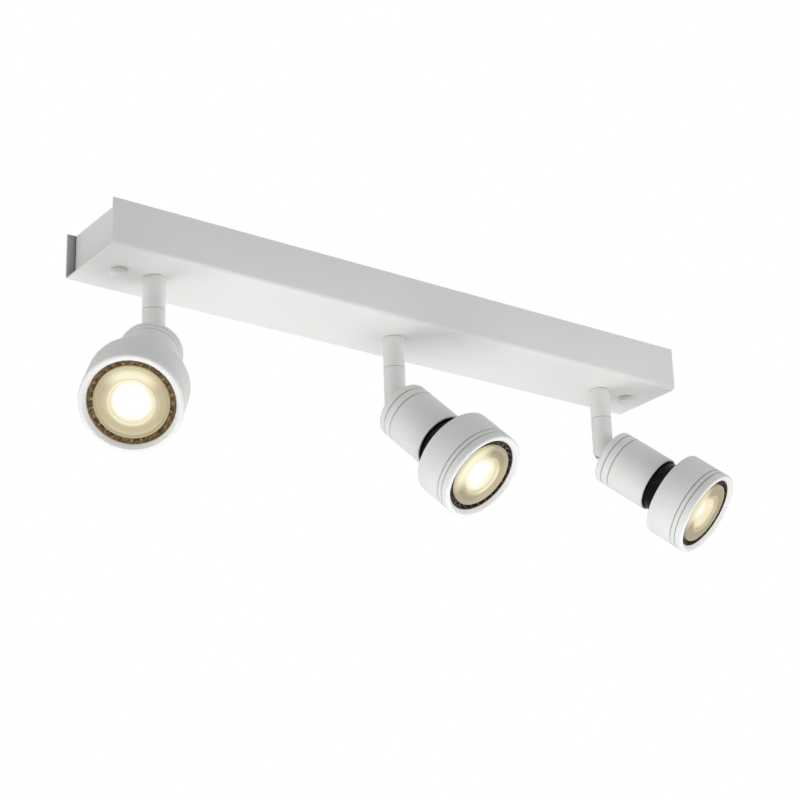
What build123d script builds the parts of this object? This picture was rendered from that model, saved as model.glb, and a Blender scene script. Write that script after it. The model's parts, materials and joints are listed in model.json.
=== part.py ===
from build123d import *
import os
from math import asin, cos, degrees, radians, sin, tan

# Ceiling spotlight bar with three swivelling heads, in millimetres.
# Origin: middle of the ceiling face. +X runs along the bar, +Y to its back, +Z up into the ceiling.

# Bar: a folded sheet channel, open towards the ceiling.
BAR_LENGTH = 450.0
BAR_WIDTH = 61.0
BAR_HEIGHT = 31.0
SHEET = 1.2
BEND_RADIUS = 3.0
END_RECESS = 6.0
FOOT_LENGTH = 9.0
FOOT_WIDTH = 40.0
BAR_FLOOR = SHEET - BAR_HEIGHT

# Heads: side, place along the bar, azimuth and tilt from straight down, in degrees.
HEAD_PITCH = 180.0
HEADS = {
    "left": (-HEAD_PITCH, -129.3, 46.6),
    "middle": (0.0, -67.4, 44.5),
    "right": (HEAD_PITCH, -57.3, 50.6),
}

# Stem: a fixed tube, then a knuckle that turns on a hollow swivel bolt.
STEM_RADIUS = 7.1
STEM_LENGTH = 21.8
JOINT_GAP = 0.1
PIVOT_DROP = 45.7
BOLT_RADIUS = 4.0
BOLT_BORE = 2.9
BOLT_HEAD_TOP = 27.4
BOLT_HEAD_END = 30.0
CHAMBER_RADIUS = 5.5
CHAMBER_TOP = 26.4
RIM_CHAMFER = 0.3
SLOT_WIDTH = 8.0
TONGUE_WIDTH = 7.6
EYE_RADIUS = 4.7
SLOT_CLEARANCE = 0.4
TILT_SCREW_RADIUS = 2.0
STOP_PIN_RADIUS = 0.6
STOP_CIRCLE = 5.65
STOP_BLOCK_HALF_ANGLE = 4.0

# Head: depths are measured from the tilt pivot along the head's own axis.
CUP_BACK = 7.5
CUP_FRONT = 48.4
CUP_RADIUS = 19.5
CUP_WALL = 1.3
CUP_GROOVES = (13.0, 18.8)
RING_BACK = 61.4
RING_FRONT = 90.5
RING_RADIUS = 30.2
RING_WALL = 1.5
RING_GROOVES = (81.0, 84.3)
OPENING_RADIUS = 25.5
OPENING_DEPTH = 88.0
GROOVE_HALF_WIDTH = 0.3
GROOVE_DEPTH = 0.35

# Lamp: a twist-lock reflector lamp, 50 mm across, on two pins 10 mm apart.
LAMP_RADIUS = 25.0
LAMP_FRONT = 86.6
LAMP_SEAT = 38.0
LAMP_NECK_RADIUS = 12.0
LENS_RADIUS = 21.8
LENS_FRONT = 88.5
LENS_THICKNESS = 2.6
RIDGE_RADIUS = 14.2
RIDGE_WIDTH = 1.1
RECESS_RADIUS = 12.6
RECESS_DEPTH = 1.5
FLARE_RADIUS = 17.4
FLARE_BACK = 45.5
FLARE_FRONT = 78.0
VENT_COUNT = 28
VENT_CIRCLE = 23.5
VENT_LENGTH = 1.9
VENT_WIDTH = 4.4
VENT_DEPTH = 3.0
PIN_CIRCLE = 5.0
PIN_NECK_RADIUS = 1.5
PIN_TIP_RADIUS = 2.5
PIN_LENGTH = 7.0
TWIST = 30.0
HOLDER_RADIUS = 13.4
HOLDER_BACK = 20.0
HOLDER_SCREW_OFFSET = 9.6

# Ceiling bracket: a strip whose ends step down to carry two long studs.
BRACKET_LENGTH = 432.0
BRACKET_WIDTH = 26.0
BRACKET_SHEET = 1.5
BRACKET_STEP = 4.0
STEP_START = 30.0
STEP_END = 36.0
EARTH_SCREW_RADIUS = 2.0
STUD_OFFSET = 205.0
STUD_RADIUS = 2.0
NUT_RADIUS = 5.0
NUT_HEIGHT = 4.8
KNURL_COUNT = 22
KNURL_RADIUS = 0.45
SLOT_SPACING = 300.0
CEILING_SLOT_LENGTH = 20.0
CEILING_SLOT_RADIUS = 2.75
CABLE_RADIUS = 4.5
BUSH_RADIUS = 7.0

# Wiring: a three-way terminal block under the bracket feeds every head.
BLOCK_X = -60.0
POLE_PITCH = 8.0
BLOCK_LENGTH = 38.0
BLOCK_HEIGHT = 13.0
BLOCK_DEPTH = 17.0
BLOCK_SCREWS = (BLOCK_X - 15.5, BLOCK_X + 15.5)
BLOCK_SCREW_RADIUS = 1.5
CLAMP_SCREW_OFFSET = 3.6
CLAMP_RADIUS = 3.3
CLAMP_LENGTH = 13.0
MOUTH_Z = -BRACKET_SHEET - BLOCK_HEIGHT / 2
WIRE_RADIUS = 1.0
WIRE_ORBIT = 1.6
LEAD_LEVELS = {"left": -7.0, "middle": -10.5, "right": -14.0}
LUG_X = -105.0


def rod(radius, bottom, top):
    """Upright cylinder on the Z axis between two heights."""
    return Pos(0, 0, (bottom + top) / 2) * Cylinder(radius, top - bottom)


def tube(outer, inner, bottom, top):
    """Upright tube on the Z axis between two heights."""
    return rod(outer, bottom, top) - rod(inner, bottom - 1, top + 1)


def slab(low, high):
    """Box between two opposite corners."""
    centre = [(a + b) / 2 for a, b in zip(low, high)]
    return Pos(*centre) * Box(*[b - a for a, b in zip(low, high)])


def turned(*outline):
    """Solid of revolution about Z from a closed outline of (radius, depth), with depth running down."""
    profile = Polyline(*[(radius, 0, -depth) for radius, depth in outline], close=True)
    return revolve(make_face(profile), Axis.Z)


def round_groove(radius, depth):
    """Cutter for a fine V groove round a turned part."""
    inner = radius - GROOVE_DEPTH
    return turned(
        (inner, depth), (radius + 0.1, depth - GROOVE_HALF_WIDTH), (radius + 0.1, depth + GROOVE_HALF_WIDTH)
    )


def around(count, piece, start=0.0):
    """Copies of a piece, evenly spaced round the Z axis."""
    return [Rot(0, 0, start + 360.0 * i / count) * piece for i in range(count)]


def at_stems(piece):
    """One copy of a piece under each stem's place on the bar floor's outer face."""
    return Compound([Pos(x, 0, -BAR_HEIGHT) * piece for x, azimuth, tilt in HEADS.values()])


# ---- Bar ----


def make_bar_cover():
    """Folded channel with holes for the swivel bolts and the two studs."""
    half, side = BAR_LENGTH / 2, BAR_WIDTH / 2
    outer = slab((-half, -side, -BAR_HEIGHT), (half, side, 0))
    outer = fillet(outer.edges().filter_by(Axis.X).group_by(Axis.Z)[0], BEND_RADIUS)
    inner = slab((-half - 1, SHEET - side, BAR_FLOOR), (half + 1, side - SHEET, 1))
    inner = fillet(inner.edges().filter_by(Axis.X).group_by(Axis.Z)[0], BEND_RADIUS - SHEET)
    cover = outer - inner
    for x in (-HEAD_PITCH, 0, HEAD_PITCH):
        cover -= Pos(x, 0, 0) * rod(BOLT_RADIUS + 0.1, -BAR_HEIGHT - 1, BAR_FLOOR + 1)
    for x in (-STUD_OFFSET, STUD_OFFSET):
        cover -= Pos(x, 0, 0) * rod(STUD_RADIUS + 0.3, -BAR_HEIGHT - 1, BAR_FLOOR + 1)
    return cover


def make_end_plate(side):
    """Recessed end panel with a foot folded inwards on the bar floor."""
    half_width = BAR_WIDTH / 2 - SHEET
    outer_x = BAR_LENGTH / 2 - END_RECESS
    panel = slab((outer_x - SHEET, -half_width, BAR_FLOOR), (outer_x, half_width, 0))
    panel = fillet(panel.edges().filter_by(Axis.X).group_by(Axis.Z)[0], BEND_RADIUS - SHEET)
    foot = slab(
        (outer_x - FOOT_LENGTH, -FOOT_WIDTH / 2, BAR_FLOOR),
        (outer_x - SHEET, FOOT_WIDTH / 2, BAR_FLOOR + SHEET),
    )
    plate = panel + foot
    return plate if side > 0 else mirror(plate, about=Plane.YZ)


def make_cap_nut():
    """Low knurled cap nut with a domed face, screwed on a stud from below."""
    outline = (
        (0, 0),
        (NUT_RADIUS - 0.2, 0),
        (NUT_RADIUS, 0.2),
        (NUT_RADIUS, NUT_HEIGHT - 1.4),
        (NUT_RADIUS - 0.4, NUT_HEIGHT - 0.9),
        (NUT_RADIUS - 1.6, NUT_HEIGHT - 0.4),
        (NUT_RADIUS - 3.2, NUT_HEIGHT - 0.1),
        (0, NUT_HEIGHT),
    )
    nut = turned(*outline) - rod(STUD_RADIUS, 1.4 - NUT_HEIGHT, 1)
    groove = Pos(NUT_RADIUS + 0.15, 0, 0) * rod(KNURL_RADIUS, -3.1, -0.5)
    for cutter in around(KNURL_COUNT, groove):
        nut -= cutter
    return nut


# ---- Ceiling bracket ----


def make_mounting_bracket():
    """Strip against the ceiling, joggled down at both ends."""
    end = BRACKET_LENGTH / 2
    shoulder, flat = end - STEP_START, end - STEP_END
    upper = [(-end, -BRACKET_STEP), (-shoulder, -BRACKET_STEP), (-flat, 0)]
    upper += [(-x, z) for x, z in reversed(upper)]
    lower = [(x, z - BRACKET_SHEET) for x, z in reversed(upper)]
    side_view = make_face(Polyline(*[(x, 0, z) for x, z in upper + lower], close=True))
    strip = extrude(side_view, BRACKET_WIDTH / 2, both=True, dir=(0, 1, 0))
    holes = [Pos(x, 0, -4) * Cylinder(STUD_RADIUS, 12) for x in (-STUD_OFFSET, STUD_OFFSET)]
    holes += [Pos(x, 0, 0) * Cylinder(BLOCK_SCREW_RADIUS, 12) for x in BLOCK_SCREWS]
    holes += [Pos(LUG_X, 0, 0) * Cylinder(EARTH_SCREW_RADIUS, 12), Cylinder(BUSH_RADIUS, 12)]
    for x in (-SLOT_SPACING / 2, SLOT_SPACING / 2):
        slot = SlotOverall(CEILING_SLOT_LENGTH, 2 * CEILING_SLOT_RADIUS)
        holes.append(Pos(x, 0, -6) * extrude(slot, 12))
    for hole in holes:
        strip -= hole
    return strip


def make_bracket_stud():
    """Threaded stud pressed into the bracket, hanging through the bar floor into its cap nut."""
    head = rod(3.5, -BRACKET_STEP, -BRACKET_STEP + 2.4)
    return rod(STUD_RADIUS, -BAR_HEIGHT - 3.2, -BRACKET_STEP) + head


def make_cable_bush():
    """Plastic edge bush where the supply cable enters through the bracket."""
    flange = tube(BUSH_RADIUS + 2, CABLE_RADIUS, -BRACKET_SHEET - 1.5, -BRACKET_SHEET)
    return flange + tube(BUSH_RADIUS, CABLE_RADIUS, -BRACKET_SHEET, 0)


# ---- Terminal block and earth ----


def pole_x(index):
    """Place of a pole: 0 is live, 1 is earth and 2 is neutral."""
    return BLOCK_X + POLE_PITCH * (index - 1)


def lying_rod(radius, length):
    """Cylinder along Y, centred on the terminal block's mouths."""
    return Pos(0, 0, MOUTH_Z) * Rot(90, 0, 0) * Cylinder(radius, length)


def make_terminal_block():
    """Three-way block with through mouths, screw holes from below and two fixing holes."""
    block = slab(
        (BLOCK_X - BLOCK_LENGTH / 2, -BLOCK_DEPTH / 2, -BRACKET_SHEET - BLOCK_HEIGHT),
        (BLOCK_X + BLOCK_LENGTH / 2, BLOCK_DEPTH / 2, -BRACKET_SHEET),
    )
    block = fillet(block.edges().filter_by(Axis.Z), 1.5)
    screw_well = rod(1.9, -BRACKET_SHEET - BLOCK_HEIGHT - 1, MOUTH_Z)
    for index in range(3):
        x = pole_x(index)
        block -= Pos(x, 0, 0) * (lying_rod(CLAMP_RADIUS, CLAMP_LENGTH) + lying_rod(2.6, BLOCK_DEPTH + 2))
        block -= Pos(x, CLAMP_SCREW_OFFSET, 0) * screw_well
        block -= Pos(x, -CLAMP_SCREW_OFFSET, 0) * screw_well
    for x in BLOCK_SCREWS:
        block -= Pos(x, 0, 0) * rod(1.7, -20, 0)
        block -= Pos(x, 0, 0) * rod(3.1, -20, -BRACKET_SHEET - BLOCK_HEIGHT + 2.5)
    return block


def make_terminal_clamps():
    """Brass sleeves in the block, each with two tapped screw holes."""
    sleeve = lying_rod(CLAMP_RADIUS, CLAMP_LENGTH) - lying_rod(2.45, CLAMP_LENGTH + 1)
    for y in (-CLAMP_SCREW_OFFSET, CLAMP_SCREW_OFFSET):
        sleeve -= Pos(0, y, 0) * rod(1.5, MOUTH_Z - 4, MOUTH_Z)
    return Compound([Pos(pole_x(index), 0, 0) * sleeve for index in range(3)])


def make_terminal_screws():
    """Slotted clamp screws, two to a pole."""
    top = MOUTH_Z - 2.5
    screw = rod(1.5, top - 3.0, top) - slab((-2, -0.3, top - 3.1), (2, 0.3, top - 2.3))
    places = [(pole_x(index), y) for index in range(3) for y in (-CLAMP_SCREW_OFFSET, CLAMP_SCREW_OFFSET)]
    return Compound([Pos(x, y, 0) * screw for x, y in places])


def make_block_screws():
    """Two screws that hold the block under the bracket."""
    head_bottom = -BRACKET_SHEET - BLOCK_HEIGHT + 0.5
    screw = rod(2.8, head_bottom, head_bottom + 2.0) + rod(BLOCK_SCREW_RADIUS, head_bottom, -0.1)
    screw -= slab((-3, -0.35, head_bottom - 1), (3, 0.35, head_bottom + 0.9))
    return Compound([Pos(x, 0, 0) * screw for x in BLOCK_SCREWS])


def make_earth_screw():
    """Screw that clamps the earth lug to the bracket."""
    head_bottom = -BRACKET_SHEET - 3.4
    screw = rod(EARTH_SCREW_RADIUS, head_bottom, -0.1) + rod(3.6, head_bottom, head_bottom + 2.6)
    screw -= slab((-4, -0.4, head_bottom - 1), (4, 0.4, head_bottom + 1))
    return Pos(LUG_X, 0, 0) * screw


def make_earth_lug():
    """Ring terminal with a crimped barrel."""
    top = -BRACKET_SHEET
    eye = tube(4.2, EARTH_SCREW_RADIUS, top - 0.8, top)
    neck = slab((3.0, -2.0, top - 0.8), (8.0, 2.0, top)) - rod(EARTH_SCREW_RADIUS, top - 2, top + 1)
    barrel = Pos(10, 0, top - 1.9) * Rot(0, 90, 0) * (Cylinder(1.9, 6) - Cylinder(WIRE_RADIUS, 7))
    return Pos(LUG_X, 0, 0) * (eye + neck + barrel)


def wire(points):
    """Insulated wire: straight runs joined by the widest arcs that they leave room for."""
    runs = [Vector(*after) - Vector(*before) for before, after in zip(points, points[1:])]
    radii = []
    for first, second in zip(runs, runs[1:]):
        room = 0.45 * min(first.length, second.length)
        radii.append(min(room / tan(radians(first.get_angle(second)) / 2), 8.0))
    path = FilletPolyline(*points, radius=radii)
    return sweep(Plane(path @ 0, z_dir=path % 0) * Circle(WIRE_RADIUS), path=path)


def lamp_wire(pole, side):
    """One wire from its pole along the front of the bar and down a swivel bolt."""
    lamp_x = HEADS[side][0]
    heading = -1 if lamp_x < BLOCK_X else 1
    rank = pole if heading < 0 else 2 - pole
    level = LEAD_LEVELS[side]
    mouth_x = pole_x(pole) + (1.2 if side == "middle" else -0.6)
    mouth_z = MOUTH_Z + {"left": 1.06, "middle": 0.0, "right": -1.06}[side]
    lane_y = -14.0 - 3.0 * rank
    column_x = lamp_x - heading * (4.0 - 4.0 * rank)
    angle = radians((150, 270, 30)[rank])
    drop_x = lamp_x + heading * WIRE_ORBIT * cos(angle)
    drop_y = WIRE_ORBIT * sin(angle)
    return wire(
        [
            (mouth_x, -3.5, mouth_z),
            (mouth_x, -10.0, mouth_z),
            (mouth_x, lane_y, level),
            (column_x, lane_y, level),
            (drop_x, drop_y, level),
            (drop_x, drop_y, -BAR_HEIGHT - BOLT_HEAD_END + 0.5),
        ]
    )


def make_pole_wires(pole):
    """The three lamp wires of one pole."""
    return [lamp_wire(pole, side) for side in HEADS]


def make_earth_wire():
    """Wire from the block's earth pole to the lug."""
    lug_z = -BRACKET_SHEET - 1.9
    return wire(
        [
            (BLOCK_X, 3.5, MOUTH_Z),
            (BLOCK_X, 16.0, MOUTH_Z),
            (BLOCK_X - 17.0, 16.0, MOUTH_Z + 1.0),
            (BLOCK_X - 24.0, 0.0, lug_z),
            (LUG_X + 8.0, 0.0, lug_z),
        ]
    )


# ---- Stems and swivels, drawn with the bar floor's outer face at Z = 0 ----


def make_stem():
    """Fixed upper tube, with a blind hole for the stop pin."""
    stem = tube(STEM_RADIUS, BOLT_RADIUS + 0.1, -STEM_LENGTH, 0)
    rims = stem.edges().filter_by(GeomType.CIRCLE).filter_by(lambda edge: edge.radius > BOLT_RADIUS + 1)
    stem = chamfer(rims, RIM_CHAMFER)
    return stem - Pos(0, STOP_CIRCLE, 0) * rod(STOP_PIN_RADIUS, -STEM_LENGTH - 1, -STEM_LENGTH + 4)


def make_stop_pin():
    """Pin that ends the swivel's turn."""
    return Pos(0, STOP_CIRCLE, 0) * rod(STOP_PIN_RADIUS, -STEM_LENGTH - 1.2, -STEM_LENGTH + 4)


def make_swivel_bolt():
    """Hollow bolt that carries the wires; two flats let its head pass the knuckle's slot."""
    head = rod(5.2, -BOLT_HEAD_END, -BOLT_HEAD_TOP)
    head &= slab((-6, -TONGUE_WIDTH / 2, -40), (6, TONGUE_WIDTH / 2, 0))
    bolt = head + rod(BOLT_RADIUS, -BOLT_HEAD_TOP, SHEET + 6.5)
    return bolt - rod(BOLT_BORE, -40, 20)


def make_swivel_nut():
    """Thin hexagon nut inside the bar."""
    nut = extrude(RegularPolygon(7.5, 6), 4)
    return Pos(0, 0, SHEET + 1) * nut - rod(BOLT_RADIUS, 0, 20)


def make_swivel_washer():
    """Flat washer under the nut."""
    return tube(8.5, BOLT_RADIUS + 0.2, SHEET, SHEET + 1)


def make_disc_spring():
    """Conical washer that gives the swivel its drag."""
    return turned(
        (4.2, BOLT_HEAD_TOP),
        (4.6, BOLT_HEAD_TOP),
        (5.2, CHAMBER_TOP + 0.5),
        (5.2, CHAMBER_TOP),
        (4.8, CHAMBER_TOP),
        (4.2, BOLT_HEAD_TOP - 0.5),
    )


def make_knuckle():
    """Turning lower part of the stem: rounded end, wire chamber, and a slot for the cup's tongue."""
    top = -STEM_LENGTH - JOINT_GAP
    body = rod(STEM_RADIUS, -PIVOT_DROP, top) + Pos(0, 0, -PIVOT_DROP) * Sphere(STEM_RADIUS)
    rim = body.edges().filter_by(GeomType.CIRCLE).sort_by(Axis.Z)[-1]
    body = chamfer(rim, RIM_CHAMFER)
    body -= rod(BOLT_RADIUS + 0.05, -40, 0)
    reach = EYE_RADIUS + SLOT_CLEARANCE
    body -= rod(CHAMBER_RADIUS, -PIVOT_DROP + reach - 1, -CHAMBER_TOP)
    body -= slab(
        (-reach, -SLOT_WIDTH / 2, -PIVOT_DROP - 9), (9, SLOT_WIDTH / 2, -PIVOT_DROP + reach)
    )
    groove = tube(6.4, 4.9, top - 1.5, top + 1)
    key = Polyline(
        (0, 0),
        (9, -9 * tan(radians(STOP_BLOCK_HALF_ANGLE))),
        (9, 9 * tan(radians(STOP_BLOCK_HALF_ANGLE))),
        close=True,
    )
    body -= groove - Pos(0, 0, top - 3) * extrude(make_face(key), 6)
    across = Pos(0, 0, -PIVOT_DROP) * Rot(-90, 0, 0)
    body -= across * rod(TILT_SCREW_RADIUS + 0.1, 0, 9)
    body -= across * rod(3.3, 4.9, 9)
    body -= across * rod(TILT_SCREW_RADIUS, -6.2, 0)
    return body


def make_tilt_screw():
    """Pivot screw across the knuckle, with a sunk head on one side and a blind thread on the other."""
    screw = rod(TILT_SCREW_RADIUS, -6.0, 5.0) + rod(3.15, 4.9, 6.3)
    screw -= slab((-2.2, -0.45, 5.5), (2.2, 0.45, 7)) + slab((-0.45, -2.2, 5.5), (0.45, 2.2, 7))
    return Pos(0, 0, -PIVOT_DROP) * Rot(-90, 0, 0) * screw


# ---- Head, drawn hanging straight down with the tilt pivot at the origin ----


def make_cup():
    """Lamp cup with its hinge tongue, wire hole and two posts for the lampholder."""
    inner = CUP_RADIUS - CUP_WALL
    shell = turned(
        (0, CUP_BACK),
        (CUP_RADIUS - 1.8, CUP_BACK),
        (CUP_RADIUS - 0.55, CUP_BACK + 0.55),
        (CUP_RADIUS, CUP_BACK + 1.8),
        (CUP_RADIUS, CUP_FRONT - 0.3),
        (CUP_RADIUS - 0.3, CUP_FRONT),
        (inner + 0.3, CUP_FRONT),
        (inner, CUP_FRONT - 0.3),
        (inner, CUP_BACK + 3.2),
        (inner - 1.2, CUP_BACK + 2.0),
        (0, CUP_BACK + 2.0),
    )
    for depth in CUP_GROOVES:
        shell -= round_groove(CUP_RADIUS, depth)
    half = TONGUE_WIDTH / 2
    eye = Rot(90, 0, 0) * Cylinder(EYE_RADIUS, TONGUE_WIDTH)
    web = slab((-4.2, -half, -CUP_BACK - 0.5), (4.2, half, 0))
    cup = shell + eye + web
    for y in (-HOLDER_SCREW_OFFSET, HOLDER_SCREW_OFFSET):
        cup += Pos(0, y, 0) * rod(2.6, -HOLDER_BACK, -CUP_BACK - 1)
        cup -= Pos(0, y, 0) * rod(1.5, -HOLDER_BACK - 1, -CUP_BACK - 3.5)
    cup -= Rot(90, 0, 0) * Cylinder(TILT_SCREW_RADIUS + 0.05, 20)
    return cup - Pos(9.5, 0, 0) * rod(3.0, -CUP_BACK - 3, -CUP_BACK + 1)


def make_lampholder():
    """Ceramic holder with two curved keyhole slots that lock the lamp's pins."""
    holder = turned(
        (0, HOLDER_BACK),
        (HOLDER_RADIUS - 1.5, HOLDER_BACK),
        (HOLDER_RADIUS, HOLDER_BACK + 1.5),
        (HOLDER_RADIUS, LAMP_SEAT - 0.8),
        (HOLDER_RADIUS - 0.6, LAMP_SEAT - 0.2),
        (0, LAMP_SEAT - 0.2),
    )
    front = -LAMP_SEAT
    for turn in (0, 180):
        track = CenterArc((0, 0), PIN_CIRCLE, turn - TWIST, TWIST)
        neck_slot = extrude(SlotArc(track, 2 * PIN_NECK_RADIUS + 0.6), 3)
        tip_slot = extrude(SlotArc(track, 2 * PIN_TIP_RADIUS + 0.6), 7.2)
        holder -= Pos(0, 0, front - 0.5) * neck_slot
        holder -= Pos(0, 0, front + 1.8) * tip_slot
        entry = Pos(PIN_CIRCLE, 0, 0) * rod(PIN_TIP_RADIUS + 0.3, front - 1, front + 5)
        holder -= Rot(0, 0, turn - TWIST) * entry
    for y in (-HOLDER_SCREW_OFFSET, HOLDER_SCREW_OFFSET):
        holder -= Pos(0, y, 0) * (rod(1.65, -50, 0) + rod(3.0, -50, -LAMP_SEAT + 2.8))
    return holder


def make_holder_screws():
    """Two screws through the lampholder into the cup's posts."""
    head_end = -LAMP_SEAT + 0.7
    screw = rod(2.8, head_end, head_end + 2.1) + rod(1.5, head_end, -12)
    screw -= slab((-3, -0.35, head_end - 1), (3, 0.35, head_end + 0.9))
    places = (-HOLDER_SCREW_OFFSET, HOLDER_SCREW_OFFSET)
    return Compound([Pos(0, y, 0) * screw for y in places])


def make_lamp_base():
    """Insulating neck of the lamp, seated on the lampholder."""
    return turned(
        (0, LAMP_SEAT),
        (LAMP_NECK_RADIUS - 1, LAMP_SEAT),
        (LAMP_NECK_RADIUS, LAMP_SEAT + 1),
        (LAMP_NECK_RADIUS, LAMP_SEAT + 5),
        (LAMP_NECK_RADIUS + 1.5, LAMP_SEAT + 6.5),
        (LAMP_NECK_RADIUS + 1.5, LAMP_SEAT + 9),
        (0, LAMP_SEAT + 9),
    )


def make_lamp_pins():
    """Two stepped contact pins."""
    neck = rod(PIN_NECK_RADIUS, -LAMP_SEAT, -LAMP_SEAT + 2.2)
    tip = rod(PIN_TIP_RADIUS, -LAMP_SEAT + 2.2, -LAMP_SEAT + PIN_LENGTH)
    pin = neck + tip
    return Compound([Pos(x, 0, 0) * pin for x in (-PIN_CIRCLE, PIN_CIRCLE)])


def make_lamp_body():
    """Black heat-sink shell of the lamp: flared outside, hollow inside, vents round its front rim."""
    third = (FLARE_FRONT - FLARE_BACK) / 3
    flare = Bezier(
        (FLARE_RADIUS, 0, -FLARE_BACK),
        (FLARE_RADIUS, 0, -FLARE_BACK - third),
        (LAMP_RADIUS, 0, third - FLARE_FRONT),
        (LAMP_RADIUS, 0, -FLARE_FRONT),
    )
    inside = LENS_RADIUS + 0.1
    closing = Polyline(
        (LAMP_RADIUS, 0, -FLARE_FRONT),
        (LAMP_RADIUS, 0, 0.8 - LAMP_FRONT),
        (LAMP_RADIUS - 0.8, 0, -LAMP_FRONT),
        (inside, 0, -LAMP_FRONT),
        (inside, 0, -73.0),
        (20.2, 0, -73.0),
        (20.2, 0, -70.0),
        (15.0, 0, -68.0),
        (15.0, 0, -47.0),
        (13.6, 0, -47.0),
        (13.6, 0, -43.6),
        (15.6, 0, -43.6),
        (FLARE_RADIUS, 0, -FLARE_BACK),
    )
    body = revolve(make_face(Wire([flare, *closing.edges()])), Axis.Z)
    vent = Pos(VENT_CIRCLE, 0, -LAMP_FRONT) * Box(VENT_LENGTH, VENT_WIDTH, 2 * VENT_DEPTH)
    for cutter in around(VENT_COUNT, vent):
        body -= cutter
    return body


def make_led_board():
    """Round board with its raised light source, seated in the lamp body."""
    return rod(20.1, -72.9, -71.3) + rod(5.0, -74.2, -72.9) + rod(14.0, -71.3, -69.5)


def make_lamp_lens():
    """One-piece lens: flat flange proud of the lamp's rim, and a ridge round a recessed dome."""
    back = LENS_FRONT - LENS_THICKNESS
    floor = LENS_FRONT - RECESS_DEPTH
    dome = Spline(
        (RECESS_RADIUS, 0, -floor),
        (RECESS_RADIUS * 0.7, 0, -floor - 0.4),
        (0, 0, -floor - 0.6),
    )
    outline = Polyline(
        (0, 0, -floor - 0.6),
        (0, 0, -77.5),
        (5.4, 0, -77.5),
        (6.6, 0, -75.0),
        (9.8, 0, -78.0),
        (12.9, 0, -back),
        (LENS_RADIUS, 0, -back),
        (LENS_RADIUS, 0, -LENS_FRONT),
        (21.15, 0, -LENS_FRONT),
        (20.95, 0, 0.25 - LENS_FRONT),
        (20.75, 0, -LENS_FRONT),
        (RIDGE_RADIUS, 0, -LENS_FRONT),
        (RIDGE_RADIUS - 0.2, 0, -LENS_FRONT - 0.2),
        (RIDGE_RADIUS - RIDGE_WIDTH, 0, -LENS_FRONT - 0.2),
        (RECESS_RADIUS, 0, -floor),
    )
    return revolve(make_face(Wire([dome, *outline.edges()])), Axis.Z)


def make_front_ring():
    """Turned ring round the lamp: sloping lip to the opening, open at the back."""
    inner = RING_RADIUS - RING_WALL
    ring = turned(
        (RING_RADIUS - 0.4, RING_BACK),
        (RING_RADIUS, RING_BACK + 0.4),
        (RING_RADIUS, RING_FRONT - 1.6),
        (RING_RADIUS - 0.5, RING_FRONT - 0.5),
        (RING_RADIUS - 1.6, RING_FRONT),
        (RING_RADIUS - 2.2, RING_FRONT),
        (OPENING_RADIUS, OPENING_DEPTH),
        (OPENING_RADIUS, OPENING_DEPTH - 0.2),
        (inner, OPENING_DEPTH - 1.6),
        (inner, RING_BACK),
    )
    for depth in RING_GROOVES:
        ring -= round_groove(RING_RADIUS, depth)
    return ring


def make_ring_clips():
    """Three leaf springs between the ring's bore and the lamp body."""
    wall = RING_RADIUS - RING_WALL
    leaf = Polyline(
        (wall - 0.45, -80.0),
        (wall - 0.45, -65.0),
        (wall - 1.4, -63.0),
        (wall - 2.9, -64.4),
        (wall - 3.4, -69.0),
        (wall - 3.3, -74.0),
    )
    strip = Plane.XZ * extrude(trace(leaf, 0.4), 3, both=True)
    return Compound(around(3, strip, start=-105))


STEM_PARTS = {"knuckle": make_knuckle, "tilt_screw": make_tilt_screw}
HEAD_PARTS = {
    "cup": make_cup,
    "lampholder": make_lampholder,
    "holder_screws": make_holder_screws,
    "lamp_base": make_lamp_base,
    "lamp_pins": make_lamp_pins,
    "lamp_body": make_lamp_body,
    "led_board": make_led_board,
    "lamp_lens": make_lamp_lens,
    "front_ring": make_front_ring,
    "ring_clips": make_ring_clips,
}


def build():
    """Every node by name, in its place."""
    nodes = {
        "bar_cover": make_bar_cover(),
        "end_plate_left": make_end_plate(-1),
        "end_plate_right": make_end_plate(1),
        "mounting_bracket": make_mounting_bracket(),
        "bracket_studs": Compound([Pos(x, 0, 0) * make_bracket_stud() for x in (-STUD_OFFSET, STUD_OFFSET)]),
        "cap_nuts": Compound([Pos(x, 0, -BAR_HEIGHT) * make_cap_nut() for x in (-STUD_OFFSET, STUD_OFFSET)]),
        "cable_bush": make_cable_bush(),
        "terminal_block": make_terminal_block(),
        "terminal_clamps": make_terminal_clamps(),
        "terminal_screws": make_terminal_screws(),
        "block_screws": make_block_screws(),
        "earth_screw": make_earth_screw(),
        "earth_lug": make_earth_lug(),
        "live_wires": Compound(make_pole_wires(0)),
        "earth_wires": Compound(make_pole_wires(1) + [make_earth_wire()]),
        "neutral_wires": Compound(make_pole_wires(2)),
        "swivel_bolts": at_stems(make_swivel_bolt()),
        "swivel_nuts": at_stems(make_swivel_nut()),
        "swivel_washers": at_stems(make_swivel_washer()),
        "disc_springs": at_stems(make_disc_spring()),
        "stop_pins": at_stems(make_stop_pin()),
    }
    stem = make_stem()
    stem_parts = {name: make() for name, make in STEM_PARTS.items()}
    head_parts = {name: make() for name, make in HEAD_PARTS.items()}
    for side, (x, azimuth, tilt) in HEADS.items():
        under_bar = Pos(x, 0, -BAR_HEIGHT)
        turned_stem = under_bar * Rot(0, 0, azimuth)
        tilted_head = turned_stem * Pos(0, 0, -PIVOT_DROP) * Rot(0, -tilt, 0)
        nodes[f"stem_{side}"] = under_bar * stem
        for name, piece in stem_parts.items():
            nodes[f"{name}_{side}"] = turned_stem * piece
        for name, piece in head_parts.items():
            nodes[f"{name}_{side}"] = tilted_head * piece
    return nodes


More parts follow.
